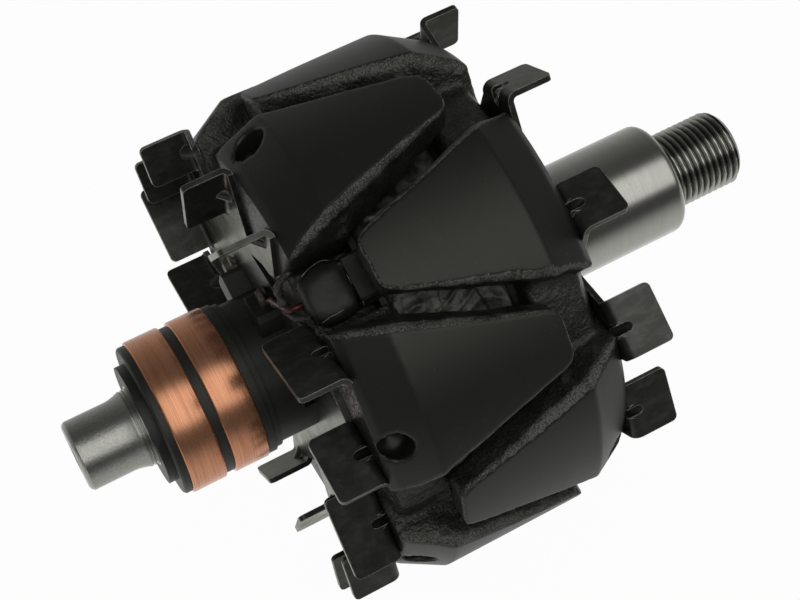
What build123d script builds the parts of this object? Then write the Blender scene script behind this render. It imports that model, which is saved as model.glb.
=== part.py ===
from build123d import *
import math
import os

# All lengths in millimetres, angles in degrees round the shaft from +Y towards +Z.
# Stations are distances along the shaft from the middle of the poles, drive end positive.

# Shaft
stub_journal_diameter = 15.0
stub_journal_length = 9.5
stub_taper_length = 3.5
shoulder_diameter = 16.6
shoulder_length = 1.5
hub_seat_diameter = 17.6
pole_seat_diameter = 26.5
drive_journal_diameter = 25.0
drive_journal_length = 38.6
drive_journal_rounding = 2.0
thread_major_diameter = 17.0
thread_length = 17.1
thread_relief_length = 1.2
thread_relief_depth = 0.9
thread_end_chamfer = 1.4
stub_end_chamfer = 0.6
centre_drill_diameter = 4.0
centre_drill_mouth_diameter = 6.4
centre_drill_depth = 6.0

# Claw poles
claws_per_pole = 6
claw_radius = 53.0
pole_length = 51.2
pole_plate_thickness = 13.1
claw_tip_setback = 11.4
claw_tip_thickness = 5.5
claw_root_depth = 12.4
claw_tip_half_angle = 5.0
claw_root_half_angle = 15.5
claw_corner_length = 9.3
claw_corner_slope = 29.5
claw_end_bevel = 1.3
claw_tip_corner_radius = 3.2
claw_side_bevel_tip = 0.5
claw_side_bevel_corner = 1.9
claw_side_bevel_end = 2.6
claw_side_draw = 1.3
claw_side_depth = 9.0
claw_blank_margin = 3.6
pole_valley_depth = 9.0
pole_valley_slope_height = 5.2
pole_valley_slope_length = 2.6
plate_inner_chamfer = 1.2
claw_root_fillet = 2.4
slip_end_claw_angle = 0.0
lead_slot_angles = [149.0, 328.0]
lead_slot_width = 14.4
lead_slot_floor_drop = 2.6

# Balance drillings: angle, distance in from the pole's face, diameter and depth of each hole
slip_end_balance_holes = [(187.7, 3.4, 6.3, 4.2), (108.7, 5.3, 7.0, 5.0), (234.0, 3.8, 6.3, 4.2)]
drive_end_balance_holes = [(224.0, 3.2, 6.0, 4.0)]
drill_point_angle = 118.0

# Core, bobbin and winding
core_diameter = 52.0
bobbin_wall = 1.2
bobbin_flange_thickness = 1.4
bobbin_flange_clearance = 1.6
coil_clearance = 1.1
tape_thickness = 1.3
outlet_width = 10.6
outlet_clearance = 0.3
outlet_step_length = 3.9
outlet_recess = 1.2
outlet_step_depth = 9.6
outlet_end_depth = 11.4
outlet_corner_rounding = 2.8
outlet_crown_rounding = 1.2

# Slip-ring hub
hub_length = 33.4
hub_nose_length = 1.8
hub_nose_diameter = 25.8
hub_lip_width = 1.7
hub_lip_diameter = 32.4
hub_lip_chamfer = 0.4
ring_diameter = 33.4
ring_bore_diameter = 28.6
outer_ring_width = 7.5
ring_spacing = 1.9
inner_ring_width = 7.6
ring_edge_chamfer = 0.35
hub_divider_diameter = 32.2
hub_shoulder_length = 1.8
hub_shoulder_diameter = 32.8
hub_step_length = 1.4
hub_step_diameter = 31.8
hub_collar_diameter = 30.6
hub_notch_angles = [20.0, 200.0, 262.0, 292.0]
hub_notch_width = 2.6
hub_notch_depth = 1.1
hub_notch_length = 2.4

# Ring conductors and lead terminals
terminal_angles = [126.0, 60.0]
conductor_width = 2.6
conductor_thickness = 1.2
conductor_depth = 3.9
terminal_block_width = 7.4
terminal_block_reach = 6.4
terminal_block_thickness = 4.6
terminal_block_chamfer = 1.0
clip_length = 3.2
clip_height = 2.7
clip_width = 3.0
clip_slit = 0.7
clip_web = 0.9
lead_diameter = 1.2
sleeve_thickness = 0.45
sleeve_float = 0.35
lead_bend_radius = 2.0
# Each route point: share of the way out from the clip to the outlet, and the angle
start_lead_route = [(0.0, 128.0), (0.3, 135.0)]
finish_lead_route = [(0.0, 53.0), (0.1, 24.0), (0.3, -14.0)]
sleeve_start = 0.6
lead_sink_height = 1.6
lead_sink_angles = [148.0, -34.5]

# Fans
fan_sheet = 1.2
fan_bore_clearance = 0.9
fan_inset = 2.5
blade_bend_radius = 0.9
blade_corner_rounding = 1.2
slip_petal_depth = 17.9
slip_petal_step = 1.5
drive_petal_depth = 14.7
drive_petal_step = 5.5
dimple_width = 1.9
dimple_wall_growth = 0.7
dimple_reach = 2.3
# Each blade: angle at its middle, lean from the radial direction, setback of its outer end from
# the fan's rim, length along the bend, height above the pole's face
slip_blades = [
    (162.4, 38, 0.1, 18.0, 10.2),
    (191.5, 35, 2.4, 14.0, 9.8),
    (220.6, 46, 2.0, 18.0, 10.3),
    (238.1, 47, 0.0, 11.3, 10.7),
    (253.2, 45, 1.1, 11.5, 10.8),
    (285.0, 42, 2.1, 15.0, 10.8),
    (309.0, 45, 1.5, 12.0, 11.2),
    (337.0, 36, 1.5, 14.0, 10.8),
    (369.0, 30, 0.0, 17.0, 10.8),
    (399.0, 30, 0.0, 17.0, 10.8),
    (419.0, 35, 0.7, 9.3, 11.2),
    (436.4, 21, 0.0, 8.8, 10.8),
    (464.0, 37, 2.1, 17.3, 10.0),
    (487.4, 35, 2.0, 14.5, 10.7),
]
drive_blades = [
    (81.0, 50, -1.2, 11.3, 9.3),
    (122.8, 62, 0.1, 11.4, 10.1),
    (157.0, 62, 0.6, 11.4, 10.1),
    (188.4, 61, 0.1, 12.2, 10.1),
    (216.1, 60, -0.3, 12.6, 10.2),
    (270.0, 58, 0.5, 12.0, 10.2),
    (299.0, 60, 0.2, 12.4, 10.2),
    (327.0, 60, 0.2, 12.4, 10.2),
    (360.0, 62, 0.2, 12.4, 10.2),
    (391.0, 60, 0.2, 12.4, 10.2),
    (418.0, 58, 0.2, 12.4, 10.2),
]
# Corners of the notch that lets the leads through the slip-end fan: depth below the rim, angle
lead_notch = [
    (22.9, 109.0),
    (20.1, 123.0),
    (19.3, 130.0),
    (14.3, 138.2),
    (9.5, 143.0),
    (11.5, 151.0),
    (14.6, 153.6),
    (19.1, 150.5),
    (23.6, 142.0),
    (24.4, 131.0),
]

# Derived radii
pole_valley_radius = claw_radius - pole_valley_depth
claw_underside_root_radius = claw_radius - claw_root_depth
bobbin_flange_radius = claw_underside_root_radius - bobbin_flange_clearance
winding_radius = claw_underside_root_radius - coil_clearance - tape_thickness
bobbin_bore = core_diameter / 2
winding_bore = bobbin_bore + bobbin_wall
lead_slot_floor_radius = winding_radius - lead_slot_floor_drop
lead_sink_radius = lead_slot_floor_radius + lead_sink_height
conductor_radius = ring_bore_diameter / 2 - conductor_depth
terminal_block_radius = conductor_radius + conductor_depth + terminal_block_reach
sleeve_radius = lead_diameter / 2 + sleeve_thickness
fan_bore_diameter = pole_seat_diameter + fan_bore_clearance
fan_radius = claw_radius - fan_inset

# Derived stations
pole_face = pole_length / 2
plate_inner_face = pole_face - pole_plate_thickness
claw_tip_station = pole_face - claw_tip_setback
claw_corner_station = pole_face - claw_corner_length
winding_half_width = plate_inner_face - bobbin_flange_thickness
outlet_step_station = -(plate_inner_face + outlet_step_length)
outlet_end_station = -(pole_face - outlet_recess)
fan_face = pole_face + fan_sheet
lead_station = -(fan_face + sleeve_radius + sleeve_float)
hub_nose_station = -(pole_face + hub_length)
hub_lip_station = hub_nose_station + hub_nose_length
outer_ring_station = hub_lip_station + hub_lip_width
inner_ring_station = outer_ring_station + outer_ring_width + ring_spacing
hub_shoulder_station = inner_ring_station + inner_ring_width
shoulder_station = hub_nose_station - shoulder_length
stub_journal_end_station = shoulder_station - stub_taper_length
stub_face_station = stub_journal_end_station - stub_journal_length
drive_journal_end_station = pole_face + drive_journal_length
thread_end_station = drive_journal_end_station + thread_length
journal_middle = (pole_face + drive_journal_end_station - drive_journal_rounding) / 2
drive_end_claw_angle = slip_end_claw_angle + 180 / claws_per_pole


def on_shaft(piece):
    turned = Plane((-journal_middle, 0, 0), x_dir=(0, 1, 0), z_dir=(1, 0, 0)) * piece
    return turned


def polar(radius, angle, station):
    turn = math.radians(angle)
    return Vector(radius * math.cos(turn), radius * math.sin(turn), station)


def turned_solid(outline):
    face = Plane.XZ * make_face(Polyline(*outline, close=True))
    return revolve(face, Axis.Z, 360)


def upright_box(radial_from, radial_to, width, station_from, station_to, angle):
    box = Box(
        radial_to - radial_from,
        width,
        station_to - station_from,
        align=(Align.MIN, Align.CENTER, Align.MIN),
    )
    return Rot(0, 0, angle) * Pos(radial_from, 0, station_from) * box


# Shaft: turned steps and centre drillings
def centre_drilling():
    mouth = centre_drill_mouth_diameter / 2
    bore = centre_drill_diameter / 2
    return turned_solid([
        (0, 0),
        (mouth, 0),
        (bore, mouth - bore),
        (bore, centre_drill_depth),
        (0, centre_drill_depth + bore),
    ])


def shaft():
    stub = stub_journal_diameter / 2
    shoulder = shoulder_diameter / 2
    seat = hub_seat_diameter / 2
    pole = pole_seat_diameter / 2
    journal = drive_journal_diameter / 2
    thread = thread_major_diameter / 2
    relief = thread - thread_relief_depth
    body = turned_solid([
        (0, stub_face_station),
        (stub - stub_end_chamfer, stub_face_station),
        (stub, stub_face_station + stub_end_chamfer),
        (stub, stub_journal_end_station),
        (shoulder, shoulder_station),
        (shoulder, hub_nose_station),
        (seat, hub_nose_station),
        (seat, -pole_face),
        (pole, -pole_face),
        (pole, pole_face),
        (journal, pole_face),
        (journal, drive_journal_end_station),
        (relief, drive_journal_end_station),
        (relief, drive_journal_end_station + thread_relief_length),
        (thread, drive_journal_end_station + thread_relief_length),
        (thread, thread_end_station - thread_end_chamfer),
        (thread - thread_end_chamfer, thread_end_station),
        (0, thread_end_station),
    ])
    rim = body.edges().filter_by(GeomType.CIRCLE)
    rim = rim.filter_by(lambda e: abs(e.radius - journal) < 0.01)
    rim = rim.filter_by(lambda e: abs(e.arc_center.Z - drive_journal_end_station) < 0.01)
    body = fillet(rim, drive_journal_rounding)
    body -= Pos(0, 0, stub_face_station) * centre_drilling()
    body -= Pos(0, 0, thread_end_station) * Rot(180, 0, 0) * centre_drilling()
    return body


# Claw poles: a forged plate and six tapering claws, turned all over their outside
def corner_drop():
    return claw_corner_length * math.tan(math.radians(claw_corner_slope))


def pole_envelope():
    bevel_drop = claw_end_bevel * math.tan(math.radians(claw_corner_slope))
    rim_radius = claw_radius - corner_drop() + bevel_drop
    return turned_solid([
        (pole_seat_diameter / 2, -pole_face),
        (rim_radius - claw_end_bevel, -pole_face),
        (rim_radius, -pole_face + claw_end_bevel),
        (claw_radius, -claw_corner_station),
        (claw_radius, claw_tip_station),
        (claw_radius - claw_tip_thickness, claw_tip_station),
        (claw_underside_root_radius, -plate_inner_face),
        (pole_seat_diameter / 2, -plate_inner_face),
    ])


def claw_half_width(half_angle):
    return claw_radius * math.sin(math.radians(half_angle))


def claw_section(half_angle, bevel, drop, station):
    edge = claw_half_width(half_angle)
    top = claw_radius * math.cos(math.radians(half_angle)) - drop
    rise = claw_blank_margin
    foot = top - bevel - claw_side_depth
    points = [
        (top + rise, edge - rise),
        (top - bevel, edge + bevel),
        (foot, edge + bevel - claw_side_draw),
        (foot, claw_side_draw - edge - bevel),
        (top - bevel, -edge - bevel),
        (top + rise, rise - edge),
    ]
    face = make_face(Polyline(*points, close=True))
    return Pos(0, 0, station) * face


def claw_outline():
    inner = claw_underside_root_radius / 2
    past = claw_blank_margin
    root = claw_half_width(claw_root_half_angle) + claw_side_bevel_end
    tip = claw_half_width(claw_tip_half_angle) + claw_side_bevel_tip
    points = [
        (root + past, -pole_face - past),
        (root + past, -claw_corner_station),
        (tip, claw_tip_station),
        (-tip, claw_tip_station),
        (-root - past, -claw_corner_station),
        (-root - past, -pole_face - past),
    ]
    face = make_face(Polyline(*points, close=True))
    corners = face.vertices().sort_by(Axis.Y)[-2:]
    face = fillet(corners, claw_tip_corner_radius)
    block = Plane((inner, 0, 0), x_dir=(0, 1, 0), z_dir=(1, 0, 0)) * face
    return extrude(block, claw_radius)


def claw(envelope):
    past = claw_end_bevel
    end_edge = claw_section(
        claw_root_half_angle, claw_side_bevel_end, corner_drop(), -pole_face - past
    )
    corner = claw_section(claw_root_half_angle, claw_side_bevel_corner, 0, -claw_corner_station)
    tip = claw_section(claw_tip_half_angle, claw_side_bevel_tip, 0, claw_tip_station + past)
    root_part = loft([end_edge, corner], ruled=True)
    long_part = loft([corner, tip], ruled=True)
    return (root_part + long_part) & claw_outline() & envelope


def pole_plate(slot_angles):
    foot = claw_half_width(claw_root_half_angle) + claw_side_bevel_corner - claw_side_draw
    reach = pole_valley_radius + claw_root_fillet + claw_end_bevel / 3
    disc = Circle(pole_valley_radius)
    for i in range(claws_per_pole):
        lobe = Rectangle(reach, 2 * foot, align=(Align.MIN, Align.CENTER))
        disc += Rot(0, 0, 360 / claws_per_pole * i) * lobe
    inner_corners = disc.vertices().filter_by(
        lambda v: abs(math.hypot(v.X, v.Y) - pole_valley_radius) < 0.01
    )
    disc = fillet(inner_corners, claw_root_fillet)
    plate = Pos(0, 0, -pole_face) * extrude(disc, pole_plate_thickness)
    edge = pole_valley_radius - pole_valley_slope_height
    steepness = pole_valley_slope_length / pole_valley_slope_height
    plate &= turned_solid([
        (0, -pole_face),
        (edge, -pole_face),
        (claw_radius, -pole_face + (claw_radius - edge) * steepness),
        (claw_radius, -plate_inner_face),
        (0, -plate_inner_face),
    ])
    plate -= Cylinder(pole_seat_diameter / 2, 2 * pole_length)
    for angle in slot_angles:
        plate -= lead_slot(angle)
    return plate


def lead_slot(angle):
    outer = pole_valley_radius + claw_root_fillet
    end = outlet_clearance - winding_half_width
    start = -pole_face - claw_blank_margin
    return upright_box(lead_slot_floor_radius, outer, lead_slot_width, start, end, angle)


def pole_half(slot_angles):
    half = pole_plate(slot_angles)
    one_claw = claw(pole_envelope())
    for i in range(claws_per_pole):
        next_claw = Rot(0, 0, 360 / claws_per_pole * i) * one_claw
        for angle in slot_angles:
            next_claw -= lead_slot(angle)
        half += next_claw
    return half


def balance_hole(angle, inset, diameter, depth, side):
    slope = math.tan(math.radians(claw_corner_slope))
    surface = claw_radius - max(0.0, claw_corner_length - inset) * slope
    radius = diameter / 2
    point = radius / math.tan(math.radians(drill_point_angle / 2))
    floor = surface - depth
    mouth = claw_radius + depth
    drill = turned_solid([
        (0, floor - point),
        (radius, floor),
        (radius, mouth),
        (0, mouth),
    ])
    return Pos(0, 0, side * (pole_face - inset)) * Rot(0, 0, angle) * Rot(0, 90, 0) * drill


def claw_pole_slip_end():
    slots = [angle - slip_end_claw_angle for angle in lead_slot_angles]
    half = Rot(0, 0, slip_end_claw_angle) * pole_half(slots)
    for hole in slip_end_balance_holes:
        half -= balance_hole(*hole, -1)
    return half


def claw_pole_drive_end():
    half = Rot(0, 0, drive_end_claw_angle) * mirror(pole_half([]), about=Plane.XY)
    for hole in drive_end_balance_holes:
        half -= balance_hole(*hole, 1)
    return half


# Core and bobbin: a steel ring between the plates, and the spool that sits on it
def pole_core():
    return Cylinder(core_diameter / 2, 2 * plate_inner_face) - Cylinder(
        pole_seat_diameter / 2, 2 * plate_inner_face
    )


def lead_outlet(angle):
    floor = lead_slot_floor_radius + outlet_clearance
    step_radius = claw_radius - outlet_step_depth
    end_radius = claw_radius - outlet_end_depth
    tall = upright_box(
        floor, step_radius, outlet_width - outlet_crown_rounding,
        outlet_step_station, -winding_half_width, 0
    )
    crown = tall.edges().filter_by(Axis.Z).sort_by(Axis.X)[-2:]
    tall = chamfer(crown, outlet_crown_rounding / 2)
    end = upright_box(floor, end_radius, outlet_width, outlet_end_station, outlet_step_station, 0)
    near_corners = end.edges().filter_by(Axis.X)
    end = fillet(near_corners, outlet_corner_rounding)
    end = fillet(end.faces().sort_by(Axis.X)[-1].edges(), outlet_crown_rounding)
    return Rot(0, 0, angle) * (tall + end)


def coil_bobbin(wires):
    spool = Cylinder(winding_bore, 2 * plate_inner_face)
    for side in (-1, 1):
        middle = side * (plate_inner_face - bobbin_flange_thickness / 2)
        spool += Pos(0, 0, middle) * Cylinder(bobbin_flange_radius, bobbin_flange_thickness)
    spool -= Cylinder(bobbin_bore, 2 * plate_inner_face)
    for angle in lead_slot_angles:
        spool += lead_outlet(angle)
    for wire in wires:
        spool -= wire
    return spool


def field_coil():
    return Cylinder(winding_radius, 2 * winding_half_width) - Cylinder(
        winding_bore, 2 * winding_half_width
    )


def coil_tape():
    return Cylinder(winding_radius + tape_thickness, 2 * winding_half_width) - Cylinder(
        winding_radius, 2 * winding_half_width
    )


# Winding leads: bare ends crimped in the clips, sleeves over the run to the outlets
def lead_points(route, sink_angle, end_station):
    first = terminal_block_radius + clip_web
    run = []
    for share, angle in route:
        run.append(polar(first + share * (lead_sink_radius - first), angle, lead_station))
    run.append(polar(lead_sink_radius, sink_angle, lead_station))
    run.append(polar(lead_sink_radius, sink_angle, end_station))
    return run


def round_wire(points, radius):
    path = FilletPolyline(*points, radius=lead_bend_radius)
    start = Plane(path @ 0, z_dir=path % 0)
    return sweep(start * Circle(radius), path)


def lead(route, sink_angle):
    return round_wire(lead_points(route, sink_angle, -winding_half_width), lead_diameter / 2)


def sleeve(route, sink_angle, wire):
    points = lead_points(route, sink_angle, outlet_end_station)
    step = (points[1] - points[0]).normalized()
    points[0] = points[0] + step * (clip_length - clip_web + sleeve_start)
    return round_wire(points, sleeve_radius) - wire


# Terminals: conductor strips inside the hub, their blocks and the crimped clips
def ring_conductor(angle, ring_middle):
    half = conductor_thickness / 2
    half_width = conductor_width / 2
    rise = upright_box(
        conductor_radius, ring_bore_diameter / 2 + conductor_depth, conductor_width,
        ring_middle - half_width, ring_middle + half_width, angle
    )
    rise &= Cylinder(ring_bore_diameter / 2, 4 * pole_length)
    bar = upright_box(
        conductor_radius, conductor_radius + conductor_thickness, conductor_width,
        ring_middle - half_width, lead_station + half, angle
    )
    leg = upright_box(
        conductor_radius, terminal_block_radius, conductor_width,
        lead_station - half, lead_station + half, angle
    )
    return rise + bar + leg


def terminal_block(angle):
    block = upright_box(
        hub_seat_diameter / 2 + conductor_thickness, terminal_block_radius, terminal_block_width,
        -fan_face - terminal_block_thickness, -fan_face, 0
    )
    crown = block.edges().filter_by(Axis.Z).sort_by(Axis.X)[-2:]
    return Rot(0, 0, angle) * chamfer(crown, terminal_block_chamfer)


def lead_clip(angle, wire):
    outer = terminal_block_radius + clip_length
    body = upright_box(
        terminal_block_radius, outer, clip_width,
        lead_station - clip_height / 2, lead_station + clip_height / 2, 0
    )
    body = chamfer(body.edges().filter_by(Axis.Y).sort_by(Axis.X)[-2:], clip_height / 3)
    slit = upright_box(
        terminal_block_radius + clip_web, outer, clip_width,
        lead_station - clip_slit / 2, lead_station + clip_slit / 2, 0
    )
    return Rot(0, 0, angle) * (body - slit) - wire


# Slip-ring hub: a moulding turned in steps, with the conductors cast in
def slip_ring(station, width):
    radius = ring_diameter / 2
    edge = ring_edge_chamfer
    return turned_solid([
        (ring_bore_diameter / 2, station),
        (radius - edge, station),
        (radius, station + edge),
        (radius, station + width - edge),
        (radius - edge, station + width),
        (ring_bore_diameter / 2, station + width),
    ])


def slip_ring_hub(conductors):
    seat = hub_seat_diameter / 2
    bore = ring_bore_diameter / 2
    lip = hub_lip_diameter / 2
    shoulder_end = hub_shoulder_station + hub_shoulder_length
    step_end = shoulder_end + hub_step_length
    hub = turned_solid([
        (seat, hub_nose_station),
        (hub_nose_diameter / 2, hub_nose_station),
        (hub_nose_diameter / 2, hub_lip_station),
        (lip - hub_lip_chamfer, hub_lip_station),
        (lip, hub_lip_station + hub_lip_chamfer),
        (lip, outer_ring_station),
        (bore, outer_ring_station),
        (bore, outer_ring_station + outer_ring_width),
        (hub_divider_diameter / 2, outer_ring_station + outer_ring_width),
        (hub_divider_diameter / 2, inner_ring_station),
        (bore, inner_ring_station),
        (bore, hub_shoulder_station),
        (hub_shoulder_diameter / 2, hub_shoulder_station),
        (hub_shoulder_diameter / 2, shoulder_end),
        (hub_step_diameter / 2, shoulder_end),
        (hub_step_diameter / 2, step_end),
        (hub_collar_diameter / 2, step_end),
        (hub_collar_diameter / 2, -fan_face),
        (seat, -fan_face),
    ])
    for angle in hub_notch_angles:
        hub -= upright_box(
            hub_collar_diameter / 2 - hub_notch_depth, hub_collar_diameter, hub_notch_width,
            -fan_face - hub_notch_length, -fan_face, angle
        )
    for angle in terminal_angles:
        hub += terminal_block(angle)
    for conductor in conductors:
        hub -= conductor
    return hub


# Fans: a stamped plate with one petal per blade, each blade bent up at its edge
def blade_ends(blade):
    angle, lean, setback, length, height = blade
    tilt = math.radians(lean)
    outer_radius = fan_radius - setback
    across = length / 2 * math.sin(tilt)
    middle_radius = math.sqrt(outer_radius ** 2 - across ** 2) - length / 2 * math.cos(tilt)
    middle = polar(middle_radius, angle, 0)
    along = polar(1, angle + lean, 0)
    return middle - along * (length / 2), middle + along * (length / 2), along


def point_angle(point):
    return math.degrees(math.atan2(point.Y, point.X))


def petal_outline(blades, root_radius, step, step_before_next):
    points = []
    for i in range(len(blades)):
        inner, outer, along = blade_ends(blades[i])
        next_inner = blade_ends(blades[(i + 1) % len(blades)])[0]
        back = Vector(-along.Y, along.X, 0) * (blade_bend_radius + fan_sheet / 2)
        points.append(inner + back)
        points.append(outer + back)
        if step_before_next:
            valley_angle = point_angle(next_inner) - step
        else:
            valley_angle = point_angle(outer) + step
        points.append(polar(root_radius, valley_angle, 0))
    return points


def blade_solid(blade):
    inner, outer, along = blade_ends(blade)
    length = (outer - inner).length
    height = blade[-1]
    outward = Vector(along.Y, -along.X, 0)
    half = fan_sheet / 2
    centre = fan_sheet + blade_bend_radius
    wall_plane = Plane(inner - outward * half, x_dir=along, z_dir=outward)
    rise = 1 if wall_plane.y_dir.Z > 0 else -1
    face = make_face(Polyline(
        (0, rise * centre), (length, rise * centre), (length, rise * height), (0, rise * height), close=True
    ))
    free_corners = face.vertices().filter_by(lambda v: abs(v.Y - rise * height) < 0.01)
    face = fillet(free_corners, blade_corner_rounding)
    wall = extrude(wall_plane * face, fan_sheet)
    bend_plane = Plane(inner, x_dir=outward, z_dir=along)
    up = 1 if bend_plane.y_dir.Z > 0 else -1
    middle = Pos(-half - blade_bend_radius, up * centre)
    ring = middle * (Circle(blade_bend_radius + fan_sheet) - Circle(blade_bend_radius))
    quarter = middle * Rectangle(centre, centre, align=(Align.MIN, Align.MAX if up > 0 else Align.MIN))
    bend = extrude(bend_plane * (ring & quarter), length)
    return wall + bend


def dimple_bar(blade, radius, open_side):
    inner, outer, along = blade_ends(blade)
    outward = Vector(along.Y, -along.X, 0)
    corner = (inner + outer) * 0.5 + outward * (fan_sheet / 2)
    high = corner + Vector(0, 0, dimple_reach)
    low = corner - outward * dimple_reach
    run = high - low
    plane = Plane(low - run * 0.5, x_dir=along, z_dir=run)
    bar = Circle(radius)
    if open_side:
        side = Align.MIN if plane.y_dir.dot(outward) > 0 else Align.MAX
        bar += Rectangle(2 * radius, 3 * radius, align=(Align.CENTER, side))
    return extrude(plane * bar, 2 * run.length)


def dimple_wall(blade):
    inner, outer, along = blade_ends(blade)
    outward = Vector(along.Y, -along.X, 0)
    corner = (inner + outer) * 0.5 + outward * (fan_sheet / 2)
    reach = 2 * dimple_reach
    room = Plane(corner, x_dir=outward, z_dir=(0, 0, 1)) * Box(
        reach, reach, reach, align=(Align.MAX, Align.CENTER, Align.MIN)
    )
    return dimple_bar(blade, dimple_width / 2 + dimple_wall_growth, False) & room


def fan(blades, petal_depth, step, step_before_next):
    outline = petal_outline(blades, fan_radius - petal_depth, step, step_before_next)
    plate = make_face(Polyline(*[(p.X, p.Y) for p in outline], close=True))
    plate -= Circle(fan_bore_diameter / 2)
    body = extrude(plate, fan_sheet)
    for blade in blades:
        body += blade_solid(blade)
        body += dimple_wall(blade)
    for blade in blades:
        body -= dimple_bar(blade, dimple_width / 2, True)
    return body


def fan_slip_end():
    body = fan(slip_blades, slip_petal_depth, slip_petal_step, False)
    corners = [polar(fan_radius - depth, angle, 0) for depth, angle in lead_notch]
    body -= extrude(make_face(Polyline(*corners, close=True)), fan_sheet)
    return Pos(0, 0, -pole_face) * mirror(body, about=Plane.XY)


def fan_drive_end():
    body = fan(drive_blades, drive_petal_depth, drive_petal_step, True)
    return Pos(0, 0, pole_face) * body


def build():
    start_wire = lead(start_lead_route, lead_sink_angles[0])
    finish_wire = lead(finish_lead_route, lead_sink_angles[1])
    outer_conductor = ring_conductor(terminal_angles[0], outer_ring_station + outer_ring_width / 2)
    inner_conductor = ring_conductor(terminal_angles[1], inner_ring_station + inner_ring_width / 2)
    bobbin = coil_bobbin([start_wire, finish_wire])
    return {
        "shaft": shaft(),
        "claw_pole_slip_end": claw_pole_slip_end(),
        "claw_pole_drive_end": claw_pole_drive_end(),
        "pole_core": pole_core(),
        "coil_bobbin": bobbin,
        "field_coil": field_coil(),
        "coil_tape": coil_tape() - bobbin,
        "slip_ring_hub": slip_ring_hub([outer_conductor, inner_conductor]),
        "slip_ring_outer": slip_ring(outer_ring_station, outer_ring_width),
        "slip_ring_inner": slip_ring(inner_ring_station, inner_ring_width),
        "ring_conductor_outer": outer_conductor,
        "ring_conductor_inner": inner_conductor,
        "lead_clip_start": lead_clip(terminal_angles[0], start_wire),
        "lead_clip_finish": lead_clip(terminal_angles[1], finish_wire),
        "coil_lead_start": start_wire,
        "coil_lead_finish": finish_wire,
        "lead_sleeve_start": sleeve(start_lead_route, lead_sink_angles[0], start_wire),
        "lead_sleeve_finish": sleeve(finish_lead_route, lead_sink_angles[1], finish_wire),
        "fan_slip_end": fan_slip_end(),
        "fan_drive_end": fan_drive_end(),
    }


os.makedirs("parts", exist_ok=True)
for name, piece in build().items():
    placed = on_shaft(piece)
    placed.label = name
    export_step(placed, f"parts/{name}.step")
    print(name, len(placed.solids()), round(placed.volume, 1))
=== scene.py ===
import math

import bmesh
import bpy
import numpy as np
from mathutils import Matrix, Vector, noise


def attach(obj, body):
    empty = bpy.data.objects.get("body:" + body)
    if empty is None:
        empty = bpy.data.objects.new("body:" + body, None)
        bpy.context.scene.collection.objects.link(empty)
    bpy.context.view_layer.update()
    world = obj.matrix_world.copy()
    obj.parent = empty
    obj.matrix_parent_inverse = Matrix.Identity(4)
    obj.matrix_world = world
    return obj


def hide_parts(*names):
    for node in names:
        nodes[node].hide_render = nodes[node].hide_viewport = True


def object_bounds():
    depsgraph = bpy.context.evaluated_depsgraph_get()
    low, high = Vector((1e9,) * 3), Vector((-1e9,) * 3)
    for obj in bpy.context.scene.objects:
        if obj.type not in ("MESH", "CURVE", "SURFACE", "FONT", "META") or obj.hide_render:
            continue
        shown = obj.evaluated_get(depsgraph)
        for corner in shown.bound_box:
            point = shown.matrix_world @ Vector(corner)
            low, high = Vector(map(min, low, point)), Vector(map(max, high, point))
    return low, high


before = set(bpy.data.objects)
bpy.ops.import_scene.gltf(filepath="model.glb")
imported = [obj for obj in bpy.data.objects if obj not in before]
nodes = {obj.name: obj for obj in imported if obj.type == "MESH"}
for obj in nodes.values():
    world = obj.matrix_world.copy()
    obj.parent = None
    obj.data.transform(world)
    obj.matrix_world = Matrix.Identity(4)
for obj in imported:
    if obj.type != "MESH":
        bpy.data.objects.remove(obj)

# The shaft lies along X; stations along it are measured from the middle of the poles
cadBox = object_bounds()
millimetre = 0.001
poleMiddle = -43.9 * millimetre
weldReach = 0.0001 * millimetre
print("stage: frame loaded")


# Camera and background
cameraView = {
    "imageWidth": 800,
    "focalPixels": 1682.0,
    "sensorWidth": 36.0,
    "tilt": 13.42,  # degrees that the drive end leans away
    "roll": 25.857,  # degrees that the shaft climbs to the right
    "elevation": 21.0,
    "distance": 0.3522,
    "sideShare": -0.00095,
    "heightShare": -0.00076,
    "clip": (0.01, 50),
}


def makeCamera(view):
    tilt = math.radians(view["tilt"])
    roll = math.radians(view["roll"])
    rise = math.radians(view["elevation"])
    along = Vector((1, 0, 0))
    toward = Vector((0, -math.cos(rise), math.sin(rise)))
    down = Vector((0, -math.sin(rise), -math.cos(rise)))
    leaned = math.cos(tilt) * along + math.sin(tilt) * toward
    right = math.cos(roll) * leaned + math.sin(roll) * down
    up = math.sin(roll) * leaned - math.cos(roll) * down
    back = math.cos(tilt) * toward - math.sin(tilt) * along
    offset = back - view["sideShare"] * right - view["heightShare"] * up
    place = Vector((poleMiddle, 0, 0)) + view["distance"] * offset
    camera = bpy.data.cameras.new("photoCamera")
    camera.sensor_width = view["sensorWidth"]
    camera.lens = view["focalPixels"] * view["sensorWidth"] / view["imageWidth"]
    camera.clip_start, camera.clip_end = view["clip"]
    holder = bpy.data.objects.new("photoCamera", camera)
    bpy.context.collection.objects.link(holder)
    turn = Matrix((right, up, back)).transposed().to_4x4()
    holder.matrix_world = Matrix.Translation(place) @ turn
    bpy.context.scene.camera = holder


makeCamera(cameraView)
bpy.context.scene.view_settings.view_transform = "Standard"
print("stage: camera set")


# Node helpers
def feed(tree, node, inputs):
    for name, value in inputs.items():
        if isinstance(value, bpy.types.NodeSocket):
            tree.links.new(value, node.inputs[name])
        else:
            node.inputs[name].default_value = value


def addNode(tree, kind, inputs=None, **settings):
    node = tree.nodes.new(kind)
    for name, value in settings.items():
        setattr(node, name, value)
    feed(tree, node, inputs or {})
    return node


def mathNode(tree, operation, first, second):
    return addNode(tree, "ShaderNodeMath", {0: first, 1: second}, operation=operation).outputs[0]


def times(tree, first, second):
    return mathNode(tree, "MULTIPLY", first, second)


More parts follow.
